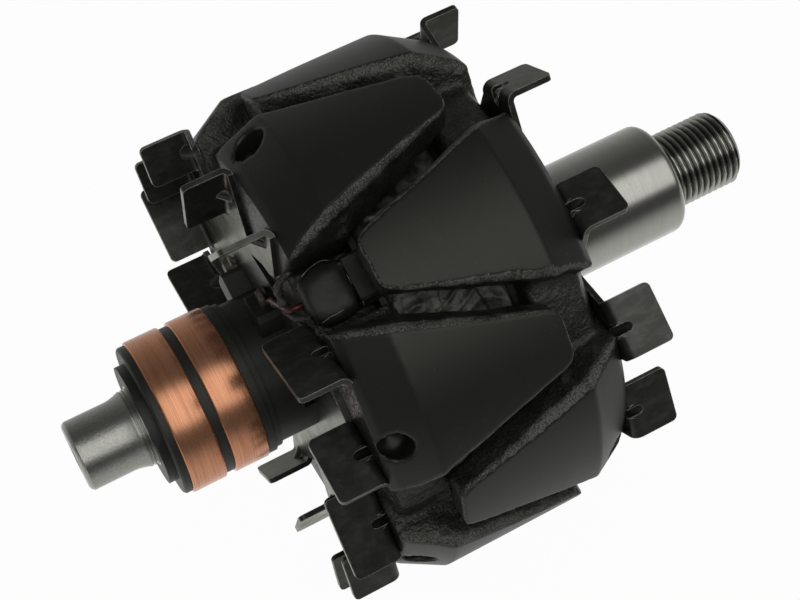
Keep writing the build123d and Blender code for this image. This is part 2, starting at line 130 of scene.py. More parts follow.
def plus(tree, first, second):
    return mathNode(tree, "ADD", first, second)


def minus(tree, first, second):
    return mathNode(tree, "SUBTRACT", first, second)


def vectorNode(tree, operation, inputs):
    return addNode(tree, "ShaderNodeVectorMath", inputs, operation=operation).outputs


def fadeBetween(tree, value, low, high, outLow=0.0, outHigh=1.0):
    return addNode(tree, "ShaderNodeMapRange", {
        "Value": value, "From Min": low, "From Max": high, "To Min": outLow, "To Max": outHigh,
    }, clamp=True).outputs[0]


def mixColours(tree, share, first, second):
    return addNode(tree, "ShaderNodeMix", {0: share, 6: first, 7: second}, data_type="RGBA").outputs[2]


def mixValues(tree, share, first, second):
    return addNode(tree, "ShaderNodeMix", {0: share, 2: first, 3: second}).outputs[0]


def colour(red, green, blue):
    return (red, green, blue, 1)


def grey(value):
    return colour(value, value, value)


# World: a pale room, dark towards the camera, with one soft panel beside it
worldLight = {
    # Brightness by the angle round the shaft: shares of a turn from straight behind, clockwise seen
    # from the drive end
    "room": [
        (0.00, 0.98), (0.056, 0.68), (0.111, 0.45), (0.167, 0.34), (0.222, 0.20), (0.278, 0.135),
        (0.333, 0.085), (0.40, 0.07), (0.60, 0.06), (0.665, 0.07), (0.70, 0.28), (0.722, 0.45),
        (0.778, 0.62), (0.889, 0.70), (0.944, 0.92), (1.0, 0.98),
    ],
    "panel": [(0.0, 0.0), (0.405, 0.0), (0.445, 1.15), (0.565, 1.15), (0.59, 0.0), (1.0, 0.0)],
    "panelEnds": [(-0.70, 0.06), (-0.35, 1.0), (0.46, 1.0), (0.85, 0.06)],  # direction along the shaft
}


def bandRamp(tree, share, bands):
    ramp = addNode(tree, "ShaderNodeValToRGB", {0: share})
    stops = ramp.color_ramp.elements
    while len(stops) > 1:
        stops.remove(stops[-1])
    stops[0].position = bands[0][0]
    stops[0].color = grey(bands[0][1])
    for place, value in bands[1:]:
        stop = stops.new(place)
        stop.color = grey(value)
    return ramp.outputs[0]


def makeWorld(light):
    world = bpy.data.worlds.new("studio")
    bpy.context.scene.world = world
    world.use_nodes = True
    tree = world.node_tree
    tree.nodes.clear()
    rise = math.radians(cameraView["elevation"])
    direction = addNode(tree, "ShaderNodeTexCoord").outputs["Generated"]
    x, y, z = addNode(tree, "ShaderNodeSeparateXYZ", {0: direction}).outputs
    toward = plus(tree, times(tree, y, -math.cos(rise)), times(tree, z, math.sin(rise)))
    down = plus(tree, times(tree, y, -math.sin(rise)), times(tree, z, -math.cos(rise)))
    share = fadeBetween(tree, mathNode(tree, "ARCTAN2", down, toward), -math.pi, math.pi)
    room = bandRamp(tree, share, light["room"])
    panel = bandRamp(tree, share, light["panel"])
    (farLow, lowValue), (nearLow, full), (nearHigh, full), (farHigh, highValue) = light["panelEnds"]
    ends = times(tree, fadeBetween(tree, x, farLow, nearLow, lowValue, full),
                 fadeBetween(tree, x, nearHigh, farHigh, full, highValue))
    level = plus(tree, room, times(tree, panel, ends))
    lit = addNode(tree, "ShaderNodeBackground", {"Color": level, "Strength": 1.0})
    white = addNode(tree, "ShaderNodeBackground", {"Color": grey(1.0), "Strength": 1.0})
    path = addNode(tree, "ShaderNodeLightPath")
    mix = addNode(tree, "ShaderNodeMixShader", {
        0: path.outputs["Is Camera Ray"], 1: lit.outputs[0], 2: white.outputs[0],
    })
    addNode(tree, "ShaderNodeOutputWorld", {"Surface": mix.outputs[0]})


makeWorld(worldLight)


# Floor: white to the camera but for a faint shadow, and left out of reflections
floorSheet = {"size": 6.0, "matt": 0.86, "shadowShare": 0.025}


def makeFloor(values):
    size = values["size"] / 2
    bottom = cadBox[0][2]
    corners = [(-size, -size, bottom), (size, -size, bottom), (size, size, bottom), (-size, size, bottom)]
    mesh = bpy.data.meshes.new("floor")
    mesh.from_pydata(corners, [], [(0, 1, 2, 3)])
    floor = bpy.data.objects.new("floor", mesh)
    bpy.context.collection.objects.link(floor)
    material = bpy.data.materials.new("paleFloor")
    material.use_nodes = True
    tree = material.node_tree
    tree.nodes.clear()
    matt = addNode(tree, "ShaderNodeBsdfDiffuse", {"Color": grey(values["matt"])})
    glow = addNode(tree, "ShaderNodeEmission", {"Color": grey(1.0), "Strength": 1.0})
    path = addNode(tree, "ShaderNodeLightPath")
    seen = times(tree, path.outputs["Is Camera Ray"], 1 - values["shadowShare"])
    mix = addNode(tree, "ShaderNodeMixShader", {0: seen, 1: matt.outputs[0], 2: glow.outputs[0]})
    clear = addNode(tree, "ShaderNodeBsdfTransparent")
    shown = addNode(tree, "ShaderNodeMixShader", {
        0: path.outputs["Is Glossy Ray"], 1: mix.outputs[0], 2: clear.outputs[0],
    })
    addNode(tree, "ShaderNodeOutputMaterial", {"Surface": shown.outputs[0]})
    mesh.materials.append(material)


makeFloor(floorSheet)
print("stage: studio set")


# Shader groups: each puts out values that change over the surface
def newGroup(name, inputs, outputs):
    tree = bpy.data.node_groups.new(name, "ShaderNodeTree")
    for label, value in inputs.items():
        socket = tree.interface.new_socket(name=label, in_out="INPUT", socket_type="NodeSocketFloat")
        socket.default_value = value
    for label in outputs:
        tree.interface.new_socket(name=label, in_out="OUTPUT", socket_type="NodeSocketFloat")
    return tree


def useGroup(tree, group, inputs=None):
    return addNode(tree, "ShaderNodeGroup", inputs, node_tree=group).outputs


def objectPoint(tree):
    return addNode(tree, "ShaderNodeTexCoord").outputs["Object"]


def scaledPoint(tree, along, around):
    scale = addNode(tree, "ShaderNodeCombineXYZ", {0: along, 1: around, 2: around}).outputs[0]
    return vectorNode(tree, "MULTIPLY", {0: objectPoint(tree), 1: scale})[0]


def noiseAt(tree, vector, scale, detail=2.0, roughness=0.5):
    return addNode(tree, "ShaderNodeTexNoise", {
        "Vector": vector, "Scale": scale, "Detail": detail, "Roughness": roughness,
    }).outputs["Fac"]


def clouds(tree, along, around, detail, roughness):
    # Uneven patches, so many to the metre along the shaft and across it
    return noiseAt(tree, scaledPoint(tree, along, around), 1.0, detail, roughness)


def perMillimetre(tree, size):
    # Scale of a pattern that repeats at this many millimetres
    return mathNode(tree, "DIVIDE", 1 / millimetre, size)


def dotProduct(tree, first, second):
    return vectorNode(tree, "DOT_PRODUCT", {0: first, 1: second})["Value"]


def makePlaceGroup():
    # Place on the rotor in millimetres, and how much the surface faces away from the shaft
    tree = newGroup("shaftPlace", {}, ["Station", "Radius", "Facing"])
    x, y, z = addNode(tree, "ShaderNodeSeparateXYZ", {0: objectPoint(tree)}).outputs
    spoke = addNode(tree, "ShaderNodeCombineXYZ", {1: y, 2: z}).outputs[0]
    length = vectorNode(tree, "LENGTH", {0: spoke})["Value"]
    unit = vectorNode(tree, "NORMALIZE", {0: spoke})[0]
    normal = addNode(tree, "ShaderNodeNewGeometry").outputs["Normal"]
    addNode(tree, "NodeGroupOutput", {
        "Station": mathNode(tree, "DIVIDE", minus(tree, x, poleMiddle), millimetre),
        "Radius": mathNode(tree, "DIVIDE", length, millimetre),
        "Facing": dotProduct(tree, unit, normal),
    })
    return tree


turnedLines = {"detail": 3.0, "roughness": 0.7, "broadShare": 0.12}


def makeLinesGroup(values):
    # Fine rings left by a turning tool or a brush; Pitch in millimetres
    tree = newGroup("turnedLines", {"Pitch": 0.2, "Waver": 0.02}, ["Height", "Tone"])
    given = addNode(tree, "NodeGroupInput").outputs
    along = perMillimetre(tree, given["Pitch"])
    around = times(tree, along, given["Waver"])
    fine = noiseAt(tree, scaledPoint(tree, along, around), 1.0, values["detail"], values["roughness"])
    broad = noiseAt(tree, scaledPoint(tree, times(tree, along, values["broadShare"]), around), 1.0)
    addNode(tree, "NodeGroupOutput", {"Height": fine, "Tone": broad})
    return tree


forgedSkin = {
    "detail": 3.0, "roughness": 0.55, "cellShare": 1.7, "cellDepth": 0.55, "grainRoughness": 0.65,
}


def makeForgedGroup(values):
    # Lumps, pits and grain of a forged or cast skin; Size and Grain in millimetres
    tree = newGroup("forgedSkin", {"Size": 3.0, "Grain": 0.5}, ["Height", "Grain"])
    given = addNode(tree, "NodeGroupInput").outputs
    point = objectPoint(tree)
    scale = perMillimetre(tree, given["Size"])
    lumps = noiseAt(tree, point, scale, values["detail"], values["roughness"])
    cellScale = times(tree, scale, values["cellShare"])
    inputs = {"Vector": point, "Scale": cellScale}
    cells = addNode(tree, "ShaderNodeTexVoronoi", inputs, feature="SMOOTH_F1")
    pits = times(tree, cells.outputs["Distance"], values["cellDepth"])
    grainScale = perMillimetre(tree, given["Grain"])
    grain = noiseAt(tree, point, grainScale, values["detail"], values["grainRoughness"])
    addNode(tree, "NodeGroupOutput", {"Height": minus(tree, lumps, pits), "Grain": grain})
    return tree


dustSpecks = {
    "roughness": 0.6, "patchShare": 14.0, "grainWeight": 0.72, "patchWeight": 0.28,
    "highest": 0.66, "reach": 0.4, "softness": 0.05,
}


def makeSpecksGroup(values):
    # Dust, chips and pale grains; Size in millimetres, and Amount is the share of the surface
    tree = newGroup("specks", {"Size": 0.4, "Amount": 0.1}, ["Mask"])
    given = addNode(tree, "NodeGroupInput").outputs
    point = objectPoint(tree)
    grains = noiseAt(tree, point, perMillimetre(tree, given["Size"]), 2.0, values["roughness"])
    patchSize = times(tree, given["Size"], values["patchShare"])
    patches = noiseAt(tree, point, perMillimetre(tree, patchSize))
    both = plus(tree, times(tree, grains, values["grainWeight"]),
                times(tree, patches, values["patchWeight"]))
    edge = minus(tree, values["highest"], times(tree, given["Amount"], values["reach"]))
    mask = fadeBetween(tree, both, edge, plus(tree, edge, values["softness"]))
    addNode(tree, "NodeGroupOutput", {"Mask": mask})
    return tree


edgeWearAndGlint = {"samples": 6, "bend": (0.96, 0.80), "chips": (900.0, 3.0, 0.7), "chipShare": (0.42, 0.62)}


def makeEdgeGroup(values):
    # Mask of worn edges, which the finishes also use to paint highlights along edges; Width in millimetres
    tree = newGroup("edgeWearAndGlint", {"Width": 0.4, "Breakup": 0.5}, ["Mask"])
    given = addNode(tree, "NodeGroupInput").outputs
    reach = times(tree, given["Width"], millimetre)
    rounded = addNode(tree, "ShaderNodeBevel", {"Radius": reach}, samples=values["samples"]).outputs[0]
    normal = addNode(tree, "ShaderNodeNewGeometry").outputs["Normal"]
    edge = fadeBetween(tree, dotProduct(tree, rounded, normal), *values["bend"])
    chips = fadeBetween(tree, noiseAt(tree, objectPoint(tree), *values["chips"]), *values["chipShare"])
    kept = minus(tree, 1.0, times(tree, given["Breakup"], chips))
    addNode(tree, "NodeGroupOutput", {"Mask": times(tree, edge, kept)})
    return tree


placeGroup = makePlaceGroup()
linesGroup = makeLinesGroup(turnedLines)
forgedGroup = makeForgedGroup(forgedSkin)
specksGroup = makeSpecksGroup(dustSpecks)
edgeGroup = makeEdgeGroup(edgeWearAndGlint)
print("stage: shader groups made")


# Finishes: colours are linear, heights and widths are in millimetres
# Painted light colour: a warm specular tint puts the lamps' warm tone into the reflections of the finishes
# that keep this default
warmLightTint = colour(1.0, 1.0, 0.89)


def newMaterial(name, specularTint=warmLightTint):
    material = bpy.data.materials.new(name)
    material.use_nodes = True
    tree = material.node_tree
    tree.nodes.clear()
    shader = addNode(tree, "ShaderNodeBsdfPrincipled", {"Specular Tint": specularTint})
    addNode(tree, "ShaderNodeOutputMaterial", {"Surface": shader.outputs[0]})
    return material, tree, shader


def addBump(tree, shader, height, rounding=0.0):
    inputs = {"Height": height, "Distance": millimetre, "Strength": 1.0}
    if rounding:
        reach = rounding * millimetre
        inputs["Normal"] = addNode(tree, "ShaderNodeBevel", {"Radius": reach}, samples=4).outputs[0]
    feed(tree, shader, {"Normal": addNode(tree, "ShaderNodeBump", inputs).outputs[0]})


poleBlack = {
    "paint": colour(0.0095, 0.0097, 0.0080), "forged": colour(0.0095, 0.0097, 0.0083),
    "strip": colour(0.024, 0.024, 0.021), "fleck": colour(0.20, 0.20, 0.18),
    "turnedRoughness": 0.40, "stripRoughness": 0.46, "forgedRoughness": 0.38, "toneShare": 0.05,
    "turnedMark": (0.45, 0.65), "valley": (45.0, 47.0), "stripFacing": (0.25, 0.6),
    "lines": {"Pitch": 0.35, "Waver": 0.03}, "skin": {"Size": 3.4, "Grain": 0.5},
    "wrinkles": {"Size": 0.9, "Grain": 0.28}, "flecks": {"Size": 0.30, "Amount": 0.46},
    "dust": {"Size": 0.22, "Amount": 0.03}, "fleckShare": (0.10, 0.55), "dustShare": 0.35,
    "turnedHeight": 0.010, "stripHeight": 0.20, "stripGrain": 0.12, "forgedHeight": 0.35,
    "wrinkleHeight": 0.26,
}


def poleFinish(values):
    material, tree, shader = newMaterial("poleBlack")
    place = useGroup(tree, placeGroup)
    mark = addNode(tree, "ShaderNodeAttribute", attribute_name="turned").outputs["Fac"]
    turned = fadeBetween(tree, mark, *values["turnedMark"])
    high = fadeBetween(tree, place["Radius"], *values["valley"])
    strip = times(tree, fadeBetween(tree, place["Facing"], *values["stripFacing"]), high)
    lines = useGroup(tree, linesGroup, values["lines"])
    skin = useGroup(tree, forgedGroup, values["skin"])
    wrinkles = useGroup(tree, forgedGroup, values["wrinkles"])
    flecks = useGroup(tree, specksGroup, values["flecks"])["Mask"]
    dust = useGroup(tree, specksGroup, values["dust"])["Mask"]
    rough = mixColours(tree, strip, values["forged"], values["strip"])
    shown = fadeBetween(tree, strip, 0.0, 1.0, *values["fleckShare"])
    rough = mixColours(tree, times(tree, flecks, shown), rough, values["fleck"])
    base = mixColours(tree, turned, rough, values["paint"])
    base = mixColours(tree, times(tree, dust, values["dustShare"]), base, values["fleck"])
    uneven = mixValues(tree, strip, values["forgedRoughness"], values["stripRoughness"])
    roughness = mixValues(tree, turned, uneven, values["turnedRoughness"])
    tone = times(tree, lines["Tone"], values["toneShare"])
    feed(tree, shader, {"Base Color": base, "Roughness": plus(tree, roughness, tone)})
    stripHeight = plus(tree, times(tree, wrinkles["Height"], values["stripHeight"]),
                       times(tree, wrinkles["Grain"], values["stripGrain"]))
    forgedHeight = plus(tree, times(tree, skin["Height"], values["forgedHeight"]),
                        times(tree, wrinkles["Height"], values["wrinkleHeight"]))
    roughHeight = mixValues(tree, strip, forgedHeight, stripHeight)
    turnedHeight = times(tree, lines["Height"], values["turnedHeight"])
    addBump(tree, shader, mixValues(tree, turned, roughHeight, turnedHeight))
    return material


groundSteel = {
    "colour": colour(0.50, 0.50, 0.455), "stain": colour(0.30, 0.30, 0.265),
    # "root" is a painted shade that darkens the thread's roots
    "stub": colour(0.34, 0.34, 0.31), "root": colour(0.05, 0.05, 0.045),
    # "edge" is a pale colour for worn edges that also paints highlights along them
    "edge": colour(0.72, 0.72, 0.70), "roughness": 0.15,
    "lines": {"Pitch": 0.16, "Waver": 0.012}, "stains": {"Size": 0.5, "Amount": 0.16},
    "wearAndGlint": {"Width": 0.25, "Breakup": 0.3}, "mottle": {"Size": 0.9, "Grain": 0.3},
    "toneShare": 0.35, "stainShare": 0.2, "edgeWearGlintShare": 0.5, "rootShadeShare": 0.8,
    "mottleShare": (0.35, 0.6),
    "thread": (65.0, 65.6), "threadRootShade": (8.35, 7.7), "stubFrom": (-57.0, -57.5),
    "lineRoughness": 0.14, "stubRoughness": 0.10, "lineHeight": 0.030, "mottleHeight": 0.03,
    "grainHeight": 0.012,
}


def steelFinish(values):
    material, tree, shader = newMaterial("groundSteel", grey(1.0))
    lines = useGroup(tree, linesGroup, values["lines"])
    stains = useGroup(tree, specksGroup, values["stains"])["Mask"]
    wearAndGlint = useGroup(tree, edgeGroup, values["wearAndGlint"])["Mask"]
    mottle = useGroup(tree, forgedGroup, values["mottle"])
    place = useGroup(tree, placeGroup)
    toned = times(tree, lines["Tone"], values["toneShare"])
    base = mixColours(tree, toned, values["colour"], values["stain"])
    base = mixColours(tree, times(tree, stains, values["stainShare"]), base, values["stain"])
    # Worn edges and painted highlight: edges and thread crests are lightened towards the edge colour
    base = mixColours(tree, times(tree, wearAndGlint, values["edgeWearGlintShare"]), base, values["edge"])
    # Painted shade: the thread's roots, between the crests, are darkened towards the root colour
    threadShade = times(tree, fadeBetween(tree, place["Station"], *values["thread"]),
                     fadeBetween(tree, place["Radius"], *values["threadRootShade"]))
    base = mixColours(tree, times(tree, threadShade, values["rootShadeShare"]), base, values["root"])
    stub = fadeBetween(tree, place["Station"], *values["stubFrom"])
    spots = fadeBetween(tree, mottle["Grain"], *values["mottleShare"])
    base = mixColours(tree, times(tree, stub, spots), base, values["stub"])
    worn = plus(tree, times(tree, lines["Height"], values["lineRoughness"]),
                times(tree, stub, values["stubRoughness"]))
    feed(tree, shader, {
        "Base Color": base, "Metallic": 1.0, "Roughness": plus(tree, worn, values["roughness"]),
    })
    uneven = plus(tree, times(tree, mottle["Height"], values["mottleHeight"]),
                  times(tree, mottle["Grain"], values["grainHeight"]))
    brushed = times(tree, lines["Height"], values["lineHeight"])
    addBump(tree, shader, plus(tree, brushed, times(tree, stub, uneven)))
    return material


ringCopper = {
    "colour": colour(0.84, 0.41, 0.235), "shade": colour(0.56, 0.235, 0.122), "metallic": 0.85,
    "roughness": 0.20, "lines": {"Pitch": 0.14, "Waver": 0.008}, "fine": {"Pitch": 0.06, "Waver": 0.05},
    "lineShade": (0.42, 0.62), "toneShare": 0.30, "fineRoughness": 0.12, "lineHeight": 0.011,
    "fineHeight": 0.007,
}


def copperFinish(values):
    material, tree, shader = newMaterial("ringCopper", grey(1.0))
    lines = useGroup(tree, linesGroup, values["lines"])
    fine = useGroup(tree, linesGroup, values["fine"])
    shade = fadeBetween(tree, lines["Height"], *values["lineShade"])
    base = mixColours(tree, shade, values["colour"], values["shade"])
    base = mixColours(tree, times(tree, lines["Tone"], values["toneShare"]), base, values["shade"])
    worn = times(tree, fine["Height"], values["fineRoughness"])
    feed(tree, shader, {
        "Base Color": base, "Metallic": values["metallic"],
        "Roughness": plus(tree, worn, values["roughness"]),
    })
    addBump(tree, shader, plus(tree, times(tree, lines["Height"], values["lineHeight"]),
                               times(tree, fine["Height"], values["fineHeight"])))
    return material


hubMoulding = {
    "colour": colour(0.012, 0.012, 0.0115), "dust": colour(0.09, 0.085, 0.075), "roughness": 0.42,
    "lines": {"Pitch": 0.4, "Waver": 0.03}, "specks": {"Size": 0.35, "Amount": 0.16},
    "wearAndGlint": {"Width": 0.2, "Breakup": 0.6}, "speckShare": 0.3, "wearAndGlintShare": 0.25, "toneRoughness": 0.12,
    "lineHeight": 0.02, "edgeRounding": 0.15,
}


def hubFinish(values):
    material, tree, shader = newMaterial("hubPlastic")
    lines = useGroup(tree, linesGroup, values["lines"])
    specks = useGroup(tree, specksGroup, values["specks"])["Mask"]
    wearAndGlint = useGroup(tree, edgeGroup, values["wearAndGlint"])["Mask"]
    base = mixColours(tree, times(tree, specks, values["speckShare"]), values["colour"], values["dust"])
    # Worn edges and painted edge highlights: edges are lightened towards the dust colour
    base = mixColours(tree, times(tree, wearAndGlint, values["wearAndGlintShare"]), base, values["dust"])
    tone = times(tree, lines["Tone"], values["toneRoughness"])
    feed(tree, shader, {"Base Color": base, "Roughness": plus(tree, tone, values["roughness"])})
    addBump(tree, shader, times(tree, lines["Height"], values["lineHeight"]), values["edgeRounding"])
    return material


fanSheet = {
    "paint": colour(0.045, 0.046, 0.041), "streak": colour(0.085, 0.087, 0.078),
    # The pale edge colour is bare metal from wear and also a painted highlight along the edges
    "bareEdgeGlint": colour(0.62, 0.62, 0.56), "roughness": (0.24, 0.40), "metallic": (0.6, 0.15),
    "streaks": (300.0, 520.0, 3.0, 0.6),
    "patches": (130.0, 130.0, 3.0, 0.6), "streakShare": (0.45, 0.75), "patchShare": (0.3, 0.7),
    "grain": {"Size": 1.2, "Grain": 0.25}, "flecks": {"Size": 0.3, "Amount": 0.12},
    "wearAndGlint": {"Width": 0.30, "Breakup": 0.35}, "fleckShare": 0.4, "wearAndGlintShare": 0.8,
    "grainHeight": 0.010, "lumpHeight": 0.020, "edgeRounding": 0.22,
}


def fanFinish(values):
    material, tree, shader = newMaterial("fanSteel")
    streaks = fadeBetween(tree, clouds(tree, *values["streaks"]), *values["streakShare"])
    patches = clouds(tree, *values["patches"])
    grain = useGroup(tree, forgedGroup, values["grain"])
    flecks = useGroup(tree, specksGroup, values["flecks"])["Mask"]
    wearAndGlint = useGroup(tree, edgeGroup, values["wearAndGlint"])["Mask"]
    base = mixColours(tree, streaks, values["paint"], values["streak"])
    base = mixColours(tree, times(tree, flecks, values["fleckShare"]), base, values["streak"])
    # Bare worn edges with painted highlights: edges turn pale grey
    base = mixColours(tree, times(tree, wearAndGlint, values["wearAndGlintShare"]), base, values["bareEdgeGlint"])
    feed(tree, shader, {
        "Base Color": base,
        "Metallic": fadeBetween(tree, wearAndGlint, 0.0, 1.0, *values["metallic"]),
        "Roughness": fadeBetween(tree, patches, *values["patchShare"], *values["roughness"]),
    })
    height = plus(tree, times(tree, grain["Grain"], values["grainHeight"]),
                  times(tree, grain["Height"], values["lumpHeight"]))
    addBump(tree, shader, height, values["edgeRounding"])
    return material


tapeCloth = {
    # "streakSheen" is a pale colour that paints highlights on the shiny tape in streaks
    "resin": colour(0.026, 0.026, 0.023), "streakSheen": colour(0.14, 0.14, 0.125), "roughness": 0.20,
    "folds": (260.0, 190.0, 4.0, 0.6), "weave": (2600.0, 2600.0, 2.0, 0.6),
    "streaks": (330.0, 240.0, 5.0, 0.7), "streakShare": (0.44, 0.66), "foldRoughness": 0.3,
    "foldHeight": 0.12, "weaveHeight": 0.03,
}


def tapeFinish(values):
    material, tree, shader = newMaterial("resinTape")
    folds = clouds(tree, *values["folds"])
    weave = clouds(tree, *values["weave"])
    # Painted highlight: pale streaks over the resin colour stand in for the sheen of the crumpled tape
    streaks = fadeBetween(tree, clouds(tree, *values["streaks"]), *values["streakShare"])
    uneven = times(tree, folds, values["foldRoughness"])
    feed(tree, shader, {
        "Base Color": mixColours(tree, streaks, values["resin"], values["streakSheen"]),
        "Roughness": plus(tree, uneven, values["roughness"]),
    })
    addBump(tree, shader, plus(tree, times(tree, folds, values["foldHeight"]),
                               times(tree, weave, values["weaveHeight"])))
    return material


bobbinResin = {
    "colour": colour(0.010, 0.010, 0.0095), "dust": colour(0.09, 0.09, 0.085), "roughness": 0.46,
    "skin": {"Size": 2.2, "Grain": 0.4}, "specks": {"Size": 0.5, "Amount": 0.1}, "speckShare": 0.3,
    "grainRoughness": 0.15, "lumpHeight": 0.10, "grainHeight": 0.03, "edgeRounding": 0.3,
}


def resinFinish(values):
    material, tree, shader = newMaterial("bobbinPlastic")
    skin = useGroup(tree, forgedGroup, values["skin"])
    specks = useGroup(tree, specksGroup, values["specks"])["Mask"]
    base = mixColours(tree, times(tree, specks, values["speckShare"]), values["colour"], values["dust"])
    uneven = times(tree, skin["Grain"], values["grainRoughness"])
    feed(tree, shader, {"Base Color": base, "Roughness": plus(tree, uneven, values["roughness"])})
    height = plus(tree, times(tree, skin["Height"], values["lumpHeight"]),
                  times(tree, skin["Grain"], values["grainHeight"]))
    addBump(tree, shader, height, values["edgeRounding"])
    return material


windingCopper = {
    "colour": colour(0.075, 0.015, 0.011), "enamel": colour(0.035, 0.008, 0.007), "metallic": 0.2,
    "roughness": (0.3, 0.5), "patches": (700.0, 700.0, 3.0, 0.6), "enamelShare": (0.4, 0.7),
    "dullShare": (0.2, 0.8), "patchHeight": 0.05,
}


def windingFinish(values):
    material, tree, shader = newMaterial("windingCopper")
    patches = clouds(tree, *values["patches"])
    enamelled = fadeBetween(tree, patches, *values["enamelShare"])
    feed(tree, shader, {
        "Base Color": mixColours(tree, enamelled, values["colour"], values["enamel"]),
        "Metallic": values["metallic"],
        "Roughness": fadeBetween(tree, patches, *values["dullShare"], *values["roughness"]),
    })
    addBump(tree, shader, times(tree, patches, values["patchHeight"]))
    return material


sleeveBraid = {
    "light": colour(0.060, 0.058, 0.052), "dark": colour(0.014, 0.014, 0.013), "roughness": 0.45,
    "weave": (1900.0, 1900.0, 1.0, 0.5), "patches": (300.0, 300.0, 2.0, 0.5), "weaveShare": (0.4, 0.6),
    "patchShare": (0.3, 0.6), "weaveRoughness": 0.15, "weaveHeight": 0.14,
}


def braidFinish(values):
    material, tree, shader = newMaterial("sleeveBraid")
    weave = clouds(tree, *values["weave"])
    patches = fadeBetween(tree, clouds(tree, *values["patches"]), *values["patchShare"])
    share = times(tree, fadeBetween(tree, weave, *values["weaveShare"]), patches)
    feed(tree, shader, {
        "Base Color": mixColours(tree, share, values["dark"], values["light"]),
        "Roughness": plus(tree, times(tree, weave, values["weaveRoughness"]), values["roughness"]),
    })
    addBump(tree, shader, times(tree, weave, values["weaveHeight"]))
    return material


clipMetal = {
    "colour": colour(0.16, 0.13, 0.10), "resin": colour(0.012, 0.012, 0.011), "roughness": 0.38,
    "patches": (900.0, 900.0, 3.0, 0.6), "bareShare": (0.42, 0.62), "metallic": 0.8,
    "patchRoughness": 0.15, "patchHeight": 0.12, "edgeRounding": 0.2,
}


def clipFinish(values):
    material, tree, shader = newMaterial("clipMetal")
    patches = clouds(tree, *values["patches"])
    bare = fadeBetween(tree, patches, *values["bareShare"])
    feed(tree, shader, {
        "Base Color": mixColours(tree, bare, values["resin"], values["colour"]),
        "Metallic": times(tree, bare, values["metallic"]),
        "Roughness": plus(tree, times(tree, patches, values["patchRoughness"]), values["roughness"]),
    })
    addBump(tree, shader, times(tree, patches, values["patchHeight"]), values["edgeRounding"])
    return material


# Thin pale grey wires over the outlet lump, coloured to paint bright highlight lines there
highlightWire = {
    "colour": colour(0.42, 0.41, 0.38), "shade": colour(0.12, 0.12, 0.11), "roughness": 0.35,
    "patches": (1200.0, 1200.0, 2.0, 0.6), "shadeShare": (0.4, 0.6), "patchRoughness": 0.2,
    "patchHeight": 0.03,
}


def highlightWireFinish(values):
    material, tree, shader = newMaterial("highlightWire")
    patches = clouds(tree, *values["patches"])
    shaded = fadeBetween(tree, patches, *values["shadeShare"])
    feed(tree, shader, {
        "Base Color": mixColours(tree, shaded, values["colour"], values["shade"]),
        "Roughness": plus(tree, times(tree, patches, values["patchRoughness"]), values["roughness"]),
    })
    addBump(tree, shader, times(tree, patches, values["patchHeight"]))
    return material


coreSteel = {
    "colour": colour(0.30, 0.30, 0.29), "shade": colour(0.2, 0.2, 0.19), "roughness": 0.45,
    "lines": {"Pitch": 0.3, "Waver": 0.02}, "lineRoughness": 0.1, "lineHeight": 0.02,
}


def coreFinish(values):
    material, tree, shader = newMaterial("coreSteel")
    lines = useGroup(tree, linesGroup, values["lines"])
    feed(tree, shader, {
        "Base Color": mixColours(tree, lines["Tone"], values["colour"], values["shade"]),
        "Metallic": 1.0,
        "Roughness": plus(tree, times(tree, lines["Height"], values["lineRoughness"]), values["roughness"]),
    })
    addBump(tree, shader, times(tree, lines["Height"], values["lineHeight"]))
    return material


copper = copperFinish(ringCopper)
wound = windingFinish(windingCopper)
finishes = {
    "shaft": steelFinish(groundSteel),
    "claw_pole": poleFinish(poleBlack),
    "pole_core": coreFinish(coreSteel),
    "coil_bobbin": resinFinish(bobbinResin),
    "field_coil": wound,
    "coil_lead": wound,
    "ring_conductor": wound,
    "coil_tape": tapeFinish(tapeCloth),
    "slip_ring_hub": hubFinish(hubMoulding),
    "slip_ring_outer": copper,
    "slip_ring_inner": copper,
    "lead_clip": clipFinish(clipMetal),
    "lead_sleeve": braidFinish(sleeveBraid),
    "fan": fanFinish(fanSheet),
    "highlightWire": highlightWireFinish(highlightWire),
}


def dress(thing, name):
    for key, material in finishes.items():
        if name.startswith(key):
            thing.data.materials.clear()
            thing.data.materials.append(material)


for name, thing in nodes.items():
    dress(thing, name)
print("stage: finishes set")


# Pieces made here: rings of points round the shaft, soft blocks and cords, in millimetres
def shaftPoint(station, radius, angle):
    turn = math.radians(angle)
    return Vector((
        poleMiddle + station * millimetre,
        radius * math.cos(turn) * millimetre,
        radius * math.sin(turn) * millimetre,
    ))


def addPiece(data, name, node, material):
    piece = bpy.data.objects.new(name, data)
    bpy.context.collection.objects.link(piece)
    data.materials.clear()
    data.materials.append(material)
    if node:
        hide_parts(node)
    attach(piece, "root")


def finishPiece(mesh, name, node, material, sharp=35):
    bmesh.ops.remove_doubles(mesh, verts=mesh.verts, dist=weldReach)
    bmesh.ops.recalc_face_normals(mesh, faces=mesh.faces)
    data = bpy.data.meshes.new(name)
    mesh.to_mesh(data)
    mesh.free()
    data.shade_smooth()
    data.set_sharp_from_angle(angle=math.radians(sharp))
    addPiece(data, name, node, material)


def joinRings(mesh, rings):
    for lower, upper in zip(rings, rings[1:]):
        for i in range(len(lower)):
            j = (i + 1) % len(lower)
            mesh.faces.new((lower[i], lower[j], upper[j], upper[i]))


def roundPiece(name, node, material, profile, segments, radiusAt, closed=False):
    mesh = bmesh.new()
    rings = []
    for station, radius in profile:
        ring = []
        for i in range(segments):
            angle = 360 * i / segments
            ring.append(mesh.verts.new(shaftPoint(station, radiusAt(station, radius, angle), angle)))
        rings.append(ring)
    if closed:
        rings.append(rings[0])
    joinRings(mesh, rings)
    finishPiece(mesh, name, node, material)


